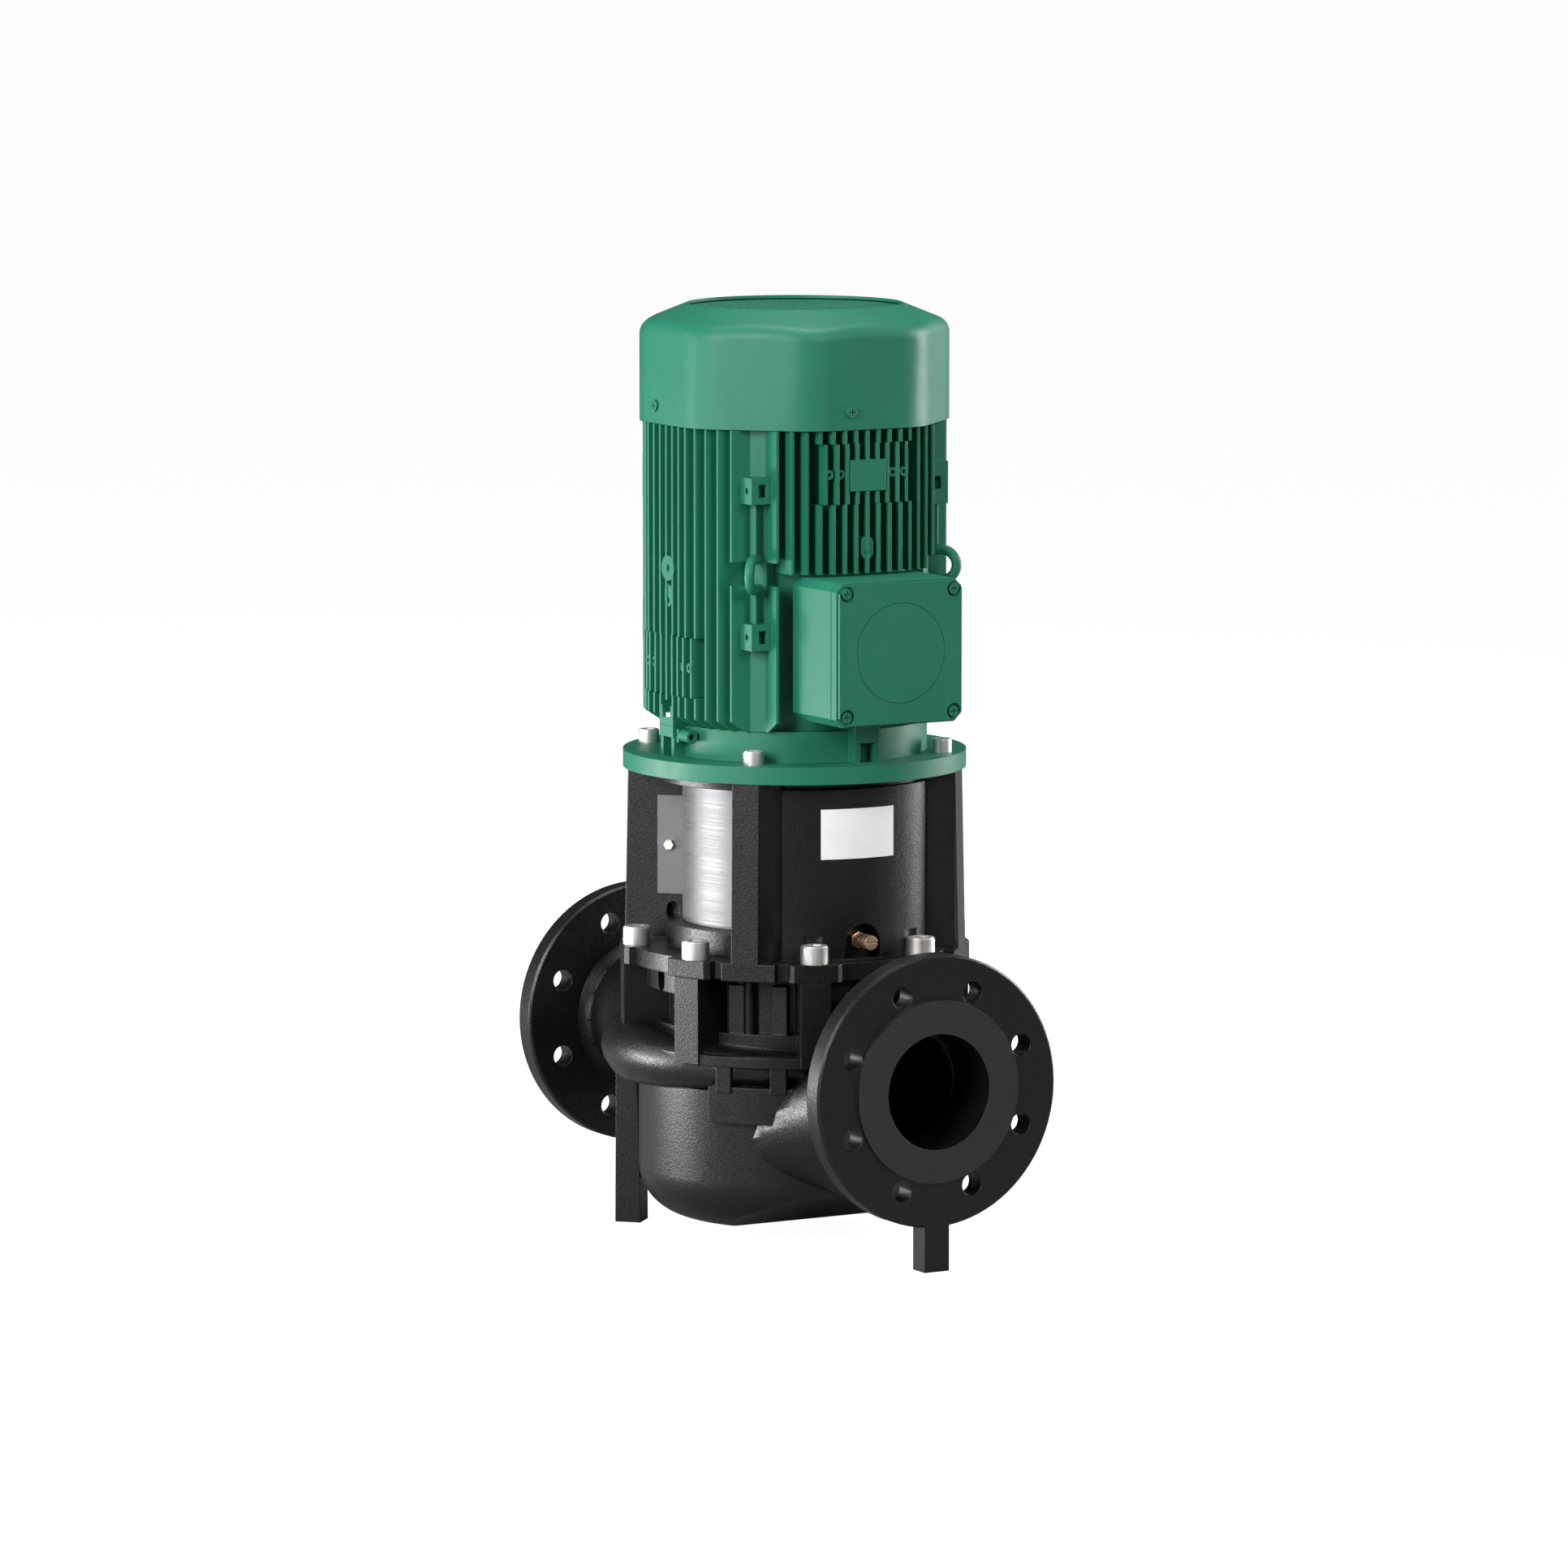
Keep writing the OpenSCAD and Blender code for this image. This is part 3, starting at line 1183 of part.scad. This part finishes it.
module box_outline(w, cut) {
    polygon([for (q = [0 : 3], s = [-1, 1]) let (x = w / 2, p = s < 0 ? [x, x - cut] : [x - cut, x])
        [p.x * cos(q * 90) - p.y * sin(q * 90), p.x * sin(q * 90) + p.y * cos(q * 90)]]);
}

module box_prism(w, cut, x0, x1) {
    translate([x0, 0, box_z]) rotate([90, 0, 90]) linear_extrude(x1 - x0) box_outline(w, cut);
}

module box_corners() {
    for (y = [-1, 1], z = [-1, 1]) translate([0, y * (box_w / 2 - 9), box_z + z * (box_w / 2 - 9)]) children();
}

module terminal_box() {
    x1 = box_front - lid_t - 1;
    color(paint) at_shaft() difference() {
        union() {
            difference() {
                box_prism(box_w, 7, box_back, x1);
                box_prism(box_w - 2 * box_wall, 7, box_seat + 5, x1 + eps);
                translate([box_back - eps, -box_w / 2 + 11.5, box_z - box_w / 2 + 11.5])
                    cube([box_seat - box_back + eps, box_w - 23, box_w - 23]);
            }
            intersection() {
                box_prism(box_w - 1, 7, box_seat + 2, x1);
                box_corners() rotate([0, 90, 0]) cylinder(r = 7.5, h = x1);
            }
        }
        cylinder_from(tube_r + gap, frame_z, frame_top_z);
        box_corners() translate([x1 - 16, 0, 0]) rotate([0, 90, 0]) cylinder(r = 2.5 + slip, h = 20);
        for (s = [-1, 1]) translate([mix(box_seat, x1, 0.52), 0, box_z + s * 24]) rotate([-90, 0, 0])
            cylinder(d = s < 0 ? entry_d : 20, h = box_w);
    }
}

module lid_gasket() {
    x = box_front - lid_t - 1;
    color(rubber) at_shaft() difference() {
        box_prism(box_w - 1, 7, x, x + 1);
        box_prism(box_w - 2 * box_wall, 9, x - eps, x + 2);
        box_corners() translate([x - 2, 0, 0]) rotate([0, 90, 0]) cylinder(r = 3, h = 6);
    }
}

module terminal_box_lid() {
    x = box_front - lid_t;
    color(paint) at_shaft() difference() {
        union() {
            box_prism(box_w, 7, x, box_front - 3.5);
            difference() {
                box_prism(box_w - 3, 7, box_front - 4, box_front);
                box_corners() translate([box_front - 3.5, 0, 0]) rotate([0, 90, 0]) cylinder(r = 7, h = 5);
            }
        }
        box_prism(box_w - 2 * box_wall - 8, 9, x - eps, box_front - 5);
        translate([box_front - 0.6, 0, box_z]) rotate([0, 90, 0]) ring(43.6, 42.6, 2);
        box_corners() translate([x - 1, 0, 0]) rotate([0, 90, 0]) cylinder(r = 3, h = 20);
    }
}

module lid_screws() {
    color(steel) at_shaft() box_corners() translate([box_front - 3.5 + slip, 0, 0]) rotate([0, 90, 0])
        difference() {
            union() {
                translate([0, 0, -20]) cylinder(r = 2.5, h = 20 + eps);
                cylinder(r = 4.6, h = 3);
            }
            for (q = [0, 90]) rotate([0, 0, q]) translate([-3, -0.6, 1.6]) cube([6, 1.2, 3]);
        }
}

module terminal_block() {
    color([0.15, 0.12, 0.10]) at_shaft() translate([box_seat + 5, -30, box_z - 18]) cube([14, 60, 36]);
}

module terminal_studs() {
    color([0.75, 0.6, 0.3]) at_shaft() for (y = [-20, 0, 20], z = [-9, 9])
        translate([box_seat + 19, y, box_z + z]) rotate([0, 90, 0]) {
            cylinder(r = 2.5, h = 14);
            cylinder(r = 5, h = 4, $fn = 6);
        }
}

module entry_plug() {
    color(rubber) at_shaft() translate([mix(box_seat, box_front - lid_t - 1, 0.52), box_w / 2 + slip, box_z + 24])
        rotate([-90, 0, 0]) {
            translate([0, 0, -box_wall]) cylinder(r = 10 - slip, h = box_wall + eps);
            cylinder(d = 25, h = 4, $fn = 6);
        }
}

// clamp for the earth wire on the side of the drive end shield
module earth_terminal() {
    x0 = ear_w / 2 + gap;
    color(paint) at_shaft() difference() {
        union() {
            translate([x0, -shield_r - 3.5, frame_z - 8]) rotate([0, 90, 0]) cylinder(r = 5.5, h = 19);
            translate([x0, -shield_r - 9, frame_z - 14]) cube([4, 9, 12]);
        }
        cylinder_from(shield_r + slip, frame_z - 20, frame_z + 5);
        translate([x0 - 1, -shield_r - 4, frame_z - 8]) rotate([0, 90, 0]) cylinder(r = 2.5, h = 30);
    }
}

spiral_casing();
wear_ring();
cover_joint_ring();
drain_plug();
impeller();
impeller_nut();
pump_shaft();
hub_clamp_screws();
seal_seat();
seal_head();
slinger_ring();
lantern();
lantern_screws();
coupling_guard_left();
coupling_guard_right();
guard_screws();
vent_valve_body();
vent_screw();
label_plate();
drive_end_shield();
motor_flange_screws();
shield_screws();
shaft_seal();
stator_frame();
stator_core();
windings();
rotor_core();
motor_shaft();
lower_bearing_outer();
lower_bearing_inner();
lower_bearing_balls();
upper_bearing_outer();
upper_bearing_inner();
upper_bearing_balls();
wave_spring();
upper_end_shield();
fan();
fan_clip();
fan_cowl();
air_grille();
cowl_screws();
terminal_box();
terminal_box_lid();
lid_gasket();
lid_screws();
terminal_block();
terminal_studs();
entry_plug();
earth_terminal();
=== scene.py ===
import json
import math

import bpy
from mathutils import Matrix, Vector

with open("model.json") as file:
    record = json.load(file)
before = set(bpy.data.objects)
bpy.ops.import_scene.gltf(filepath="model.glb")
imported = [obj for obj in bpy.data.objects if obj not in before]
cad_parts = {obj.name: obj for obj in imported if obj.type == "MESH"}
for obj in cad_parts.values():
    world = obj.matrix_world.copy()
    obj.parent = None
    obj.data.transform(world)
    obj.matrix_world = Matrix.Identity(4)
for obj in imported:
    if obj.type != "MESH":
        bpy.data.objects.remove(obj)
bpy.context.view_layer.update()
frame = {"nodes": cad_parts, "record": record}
nodes = frame["nodes"]

# the part's own places, in metres
FLOOR_Z = -0.156
SHAFT_X = -0.25
OUTLET_X = -0.55
FACE_TOLERANCE = 0.0006

# the camera that was fitted to the photograph
CAMERA_AT = Vector((6.2217, -3.6720, 1.1710))
CAMERA_TO = Vector((-0.25453, -0.0080, 0.23763))
LENS_MM = 196.88
SENSOR_MM = 36.0
CLIP_START = 0.1
CLIP_END = 200.0

# floor and light
FLOOR_DROP = 0.0003
FLOOR_HALF = 60.0
FLOOR_GREY = (0.3, 0.3, 0.3)
FLOOR_GLOW = 0.95
SKY_COLOUR = (0.95, 0.97, 1.0)
SKY_STRENGTH = 0.07
MIDDLE = (SHAFT_X, 0.0, 0.25)
CASING_MIDDLE = (SHAFT_X, 0.0, -0.04)

# name, place, aim, width, height, watts
LAMPS = [
    ("key", (0.81, -2.63, 1.40), MIDDLE, 0.9, 1.6, 84),
    ("left", (-1.75, -2.20, 1.20), MIDDLE, 1.0, 1.4, 16),
    ("low_left", (-0.98, -1.25, 0.03), CASING_MIDDLE, 0.7, 0.34, 18),
    ("right", (-0.05, 2.70, 0.90), MIDDLE, 0.8, 2.0, 84),
    ("front", (2.70, 0.30, 1.80), MIDDLE, 1.2, 1.2, 34),
    ("top", (-0.3, 0.1, 2.7), MIDDLE, 1.3, 1.3, 36),
]

# shading: edges sharper than this stay crisp, and doubled corners closer than this are joined
CRISP_ANGLE = math.radians(32.0)
WELD_DISTANCE = 0.000002
BEVEL_SAMPLES = 4

# noise values at which a tint reaches its low and its high end
TINT_START = 0.35
TINT_STOP = 0.65


class Finish:
    """A principled material that is built up from object-space noise."""

    def __init__(self, name, colour, metallic=0.0, roughness=0.4, specular=0.5, bevel=0.0006):
        self.material = bpy.data.materials.new(name)
        self.material.use_nodes = True
        self.tree = self.material.node_tree
        self.shader = self.tree.nodes["Principled BSDF"]
        self.shader.inputs["Base Color"].default_value = (*colour, 1)
        self.shader.inputs["Metallic"].default_value = metallic
        self.shader.inputs["Roughness"].default_value = roughness
        self.shader.inputs["Specular IOR Level"].default_value = specular
        self.colour = colour
        self.coords = self.tree.nodes.new("ShaderNodeTexCoord").outputs["Object"]
        self.normal = None
        if bevel:
            edge = self.tree.nodes.new("ShaderNodeBevel")
            edge.samples = BEVEL_SAMPLES
            edge.inputs["Radius"].default_value = bevel
            self.normal = edge.outputs["Normal"]
            self.link(self.normal, self.shader.inputs["Normal"])

    def link(self, output, socket):
        self.tree.links.new(output, socket)

    def stretched(self, scale):
        """Object coordinates with a scale of their own on each axis."""
        mapping = self.tree.nodes.new("ShaderNodeMapping")
        mapping.inputs["Scale"].default_value = scale
        self.link(self.coords, mapping.inputs["Vector"])
        return mapping.outputs["Vector"]

    def noise(self, scale, detail=3.0, rough=0.55, vector=None):
        """Noise from 0 to 1; the scale is in waves per metre."""
        tex = self.tree.nodes.new("ShaderNodeTexNoise")
        tex.inputs["Scale"].default_value = scale
        tex.inputs["Detail"].default_value = detail
        tex.inputs["Roughness"].default_value = rough
        self.link(vector or self.coords, tex.inputs["Vector"])
        return tex.outputs["Fac"]

    def ranged(self, value, low, high, start=0.3, stop=0.7):
        """Spreads the values from start to stop over the range from low to high."""
        node = self.tree.nodes.new("ShaderNodeMapRange")
        node.inputs["From Min"].default_value = start
        node.inputs["From Max"].default_value = stop
        node.inputs["To Min"].default_value = low
        node.inputs["To Max"].default_value = high
        self.link(value, node.inputs["Value"])
        return node.outputs["Result"]

    def bump(self, value, distance, strength):
        node = self.tree.nodes.new("ShaderNodeBump")
        node.inputs["Distance"].default_value = distance
        node.inputs["Strength"].default_value = strength
        self.link(value, node.inputs["Height"])
        if self.normal:
            self.link(self.normal, node.inputs["Normal"])
        self.normal = node.outputs["Normal"]
        self.link(self.normal, self.shader.inputs["Normal"])

    def tint(self, value, low, high):
        """The base colour times a factor that runs from low to high with the value."""
        factor = self.ranged(value, low, high, TINT_START, TINT_STOP)
        node = self.tree.nodes.new("ShaderNodeVectorMath")
        node.operation = "SCALE"
        node.inputs[0].default_value = self.colour
        self.link(factor, node.inputs["Scale"])
        self.link(node.outputs["Vector"], self.shader.inputs["Base Color"])

    def rough(self, value, low, high):
        self.link(self.ranged(value, low, high), self.shader.inputs["Roughness"])


def cast_black(name, colour, roughness):
    """Painted sand casting: fine grain, shallow pits and soft edges."""
    f = Finish(name, colour, roughness=roughness, specular=0.5, bevel=0.0014)
    grain = f.noise(600, 2, 0.5)
    pits = f.noise(170, 2, 0.5)
    f.tint(f.noise(38, 4), 0.8, 1.25)
    f.rough(grain, roughness - 0.08, roughness + 0.1)
    f.bump(pits, 0.0003, 0.2)
    f.bump(grain, 0.00035, 0.6)
    return f.material


def enamel(name, colour, bevel, peel=0.25):
    """Sprayed paint with a light orange peel."""
    f = Finish(name, colour, roughness=0.5, specular=0.45, bevel=bevel)
    f.tint(f.noise(9, 3), 0.96, 1.04)
    f.rough(f.noise(60, 3), 0.46, 0.54)
    f.bump(f.noise(520, 2, 0.5), 0.0002, peel)
    return f.material


def metal(name, colour, roughness, direction, grain, bevel=0.0004, shade=0.1):
    """Brushed or ground metal with its lines along the axis that has the small scale."""
    f = Finish(name, colour, metallic=1.0, roughness=roughness, bevel=bevel)
    lines = f.noise(1.0, 3, 0.6, f.stretched(direction))
    f.tint(lines, 1 - shade, 1 + shade * 0.8)
    f.rough(lines, roughness - 0.07, roughness + 0.09)
    f.bump(lines, 0.00003, grain)
    return f.material


def matt(name, colour, roughness, bevel=0.0004, shade=0.08):
    """Plain finish with a faint grain and a soft change of shade."""
    f = Finish(name, colour, roughness=roughness, specular=0.4, bevel=bevel)
    grain = f.noise(900, 2)
    f.tint(f.noise(70, 3), 1 - shade, 1 + shade)
    f.rough(grain, roughness - 0.06, roughness + 0.06)
    f.bump(grain, 0.00006, 0.4)
    return f.material


PAINT_GREEN = (0.009, 0.17, 0.098)
CASTING = cast_black("cast_iron_black", (0.0034, 0.0035, 0.0037), 0.36)
MACHINED_BLACK = matt("machined_grey", (0.026, 0.026, 0.027), 0.5, 0.0005)
GREEN = enamel("motor_enamel", PAINT_GREEN, 0.0012)
GREEN_SHEET = enamel("sheet_enamel", PAINT_GREEN, 0.0006, 0.4)
ZINC = metal("zinc_plated", (0.70, 0.69, 0.67), 0.5, (400, 400, 60), 0.1, 0.0006, 0.05)
STAINLESS = metal("stainless_sheet", (0.19, 0.19, 0.195), 0.5, (3, 3, 1100), 0.015, 0.0003, 0.06)
GROUND = metal("ground_steel", (0.55, 0.56, 0.57), 0.24, (40, 40, 1200), 0.2)
STACK = metal("lamination_stack", (0.32, 0.32, 0.34), 0.45, (8, 8, 2400), 0.8)
COPPER = metal("copper_alloy", (0.90, 0.62, 0.46), 0.4, (300, 60, 60), 0.2)
LABEL = matt("blank_label", (0.96, 0.96, 0.96), 0.45, 0.0001, 0.015)
RUBBER = matt("black_rubber", (0.012, 0.012, 0.012), 0.62)
PLASTIC = matt("black_plastic", (0.016, 0.016, 0.018), 0.48)
CERAMIC = matt("seal_ceramic", (0.05, 0.05, 0.055), 0.3)

# finish of each material slot of the record
FINISHES = {
    "cast_iron_black": CASTING,
    "impeller_iron": CASTING,
    "motor_paint": GREEN,
    "zinc_plated": ZINC,
    "stainless": STAINLESS,
    "ground_steel": GROUND,
    "lamination": STACK,
    "copper_alloy": COPPER,
    "black_rubber": RUBBER,
    "blank_label": LABEL,
    "black_plastic": PLASTIC,
    "carbon": RUBBER,
    "silicon_carbide": CERAMIC,
}


def soften(obj):
    """Smooth shading that stays crisp at sharp edges."""
    mesh = obj.data
    if "custom_normal" in mesh.attributes:
        mesh.attributes.remove(mesh.attributes["custom_normal"])
    mesh.polygons.foreach_set("use_smooth", [True] * len(mesh.polygons))
    weld = obj.modifiers.new("weld", "WELD")
    weld.merge_threshold = WELD_DISTANCE
    split = obj.modifiers.new("edges", "EDGE_SPLIT")
    split.split_angle = CRISP_ANGLE
    normals = obj.modifiers.new("normals", "WEIGHTED_NORMAL")
    normals.keep_sharp = True


def second_finish(obj, material, chosen):
    """Gives the faces that chosen(centre, normal) picks the material as a second slot."""
    obj.data.materials.append(material)
    slot = len(obj.data.materials) - 1
    for face in obj.data.polygons:
        if chosen(face.center, face.normal):
            face.material_index = slot


slot_of = {p["node"]: p["material_slot"] for p in frame["record"]["subparts"]}
for name, obj in nodes.items():
    obj.data.materials.clear()
    obj.data.materials.append(FINISHES[slot_of[name]])
    soften(obj)

for name in ("fan_cowl", "air_grille", "terminal_box_lid"):
    nodes[name].data.materials[0] = GREEN_SHEET


def on_sealing_face(centre, normal):
    """True for the turned faces of both pipe flanges."""
    near = min(abs(centre.x), abs(centre.x - OUTLET_X))
    return abs(normal.x) > 0.99 and near < FACE_TOLERANCE


second_finish(nodes["spiral_casing"], MACHINED_BLACK, on_sealing_face)

# Floor: pale for the camera, grey for everything that it lights
floor_mesh = bpy.data.meshes.new("floor")
level = FLOOR_Z - FLOOR_DROP
corners = [(x * FLOOR_HALF, y * FLOOR_HALF, level) for x, y in ((-1, -1), (1, -1), (1, 1), (-1, 1))]
floor_mesh.from_pydata(corners, [], [(0, 1, 2, 3)])
floor = bpy.data.objects.new("floor", floor_mesh)
bpy.context.scene.collection.objects.link(floor)
floor_paint = Finish("floor_white", FLOOR_GREY, roughness=0.9, specular=0.0, bevel=0)
seen = floor_paint.tree.nodes.new("ShaderNodeLightPath")
floor_paint.shader.inputs["Emission Color"].default_value = (1, 1, 1, 1)
glow = floor_paint.tree.nodes.new("ShaderNodeMath")
glow.operation = "MULTIPLY"
glow.inputs[1].default_value = FLOOR_GLOW
floor_paint.link(seen.outputs["Is Camera Ray"], glow.inputs[0])
floor_paint.link(glow.outputs["Value"], floor_paint.shader.inputs["Emission Strength"])
floor_mesh.materials.append(floor_paint.material)


def area_light(name, place, aim, width, height, watts):
    data = bpy.data.lights.new(name, "AREA")
    data.shape = "RECTANGLE"
    data.size = width
    data.size_y = height
    data.energy = watts
    lamp = bpy.data.objects.new(name, data)
    lamp.location = place
    lamp.rotation_euler = (Vector(aim) - Vector(place)).to_track_quat("-Z", "Y").to_euler()
    bpy.context.scene.collection.objects.link(lamp)


for lamp_row in LAMPS:
    area_light(*lamp_row)

# Sky: white for the camera, faint for everything that it lights
world = bpy.data.worlds.new("studio")
bpy.context.scene.world = world
world.use_nodes = True
tree = world.node_tree
back = tree.nodes["Background"]
path = tree.nodes.new("ShaderNodeLightPath")
white = tree.nodes.new("ShaderNodeBackground")
white.inputs["Color"].default_value = (1, 1, 1, 1)
white.inputs["Strength"].default_value = 1.0
back.inputs["Color"].default_value = (*SKY_COLOUR, 1)
back.inputs["Strength"].default_value = SKY_STRENGTH
mix = tree.nodes.new("ShaderNodeMixShader")
tree.links.new(path.outputs["Is Camera Ray"], mix.inputs["Fac"])
tree.links.new(back.outputs["Background"], mix.inputs[1])
tree.links.new(white.outputs["Background"], mix.inputs[2])
tree.links.new(mix.outputs["Shader"], tree.nodes["World Output"].inputs["Surface"])

# Camera of the photograph
camera_data = bpy.data.cameras.new("camera")
camera_data.lens = LENS_MM
camera_data.sensor_width = SENSOR_MM
camera_data.clip_start = CLIP_START
camera_data.clip_end = CLIP_END
camera = bpy.data.objects.new("camera", camera_data)
camera.location = CAMERA_AT
camera.rotation_euler = (CAMERA_TO - CAMERA_AT).to_track_quat("-Z", "Y").to_euler()
bpy.context.scene.collection.objects.link(camera)
bpy.context.scene.camera = camera
bpy.context.scene.view_settings.view_transform = "Standard"
bpy.context.scene.view_settings.look = "None"
bpy.context.scene.view_settings.exposure = 0.0
bpy.context.scene.view_settings.gamma = 1.0
